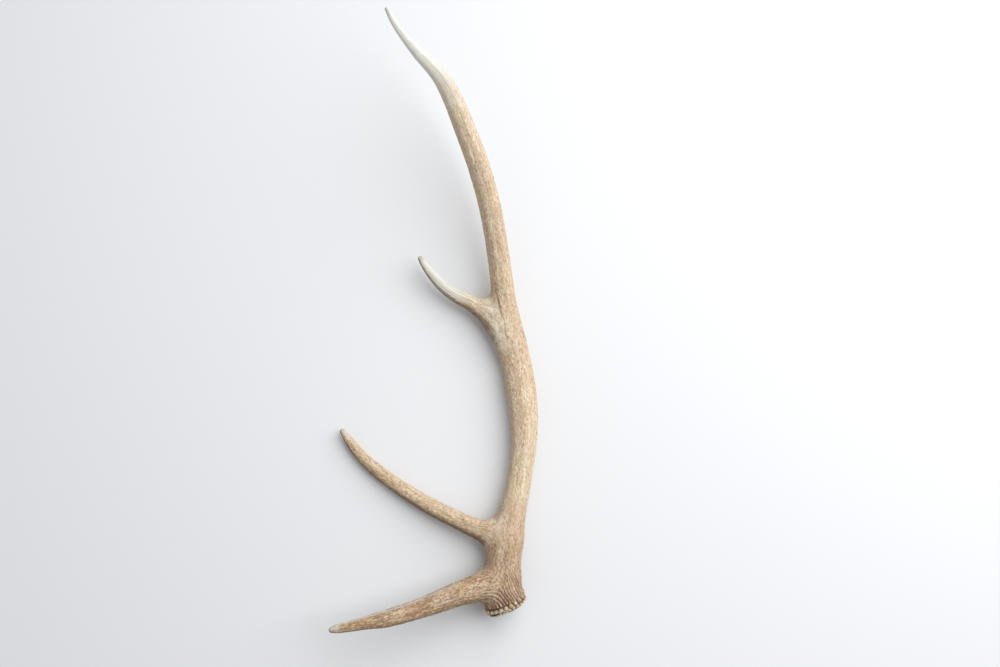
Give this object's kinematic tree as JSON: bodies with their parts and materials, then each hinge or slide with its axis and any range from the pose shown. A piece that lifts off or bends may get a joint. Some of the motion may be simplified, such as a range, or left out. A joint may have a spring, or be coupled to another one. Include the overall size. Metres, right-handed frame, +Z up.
{
  "type": "deer antler",
  "caption": "Deer antler lying with the hollow side of its curve up: a long main beam with a pearled burr at its base, forking into brow, bez and trez tines.",
  "frame": {"origin": "centre of the bounding box on the surface that the antler lies on", "axes": "+Z up from that surface, +Y from the burr towards the tip of the beam, -X towards the side that the tines point to"},
  "size_m": [0.2644, 0.7417, 0.166],
  "materials": {
    "brown_bone": "matte",
    "tan_bone": "matte",
    "pale_bone": "matte"
  },
  "bodies": {
    "root": {"lower_beam": "brown_bone", "upper_beam": "tan_bone", "brow_tine": "brown_bone", "bez_tine": "tan_bone", "trez_tine": "pale_bone"}
  },
  "joints": []
}
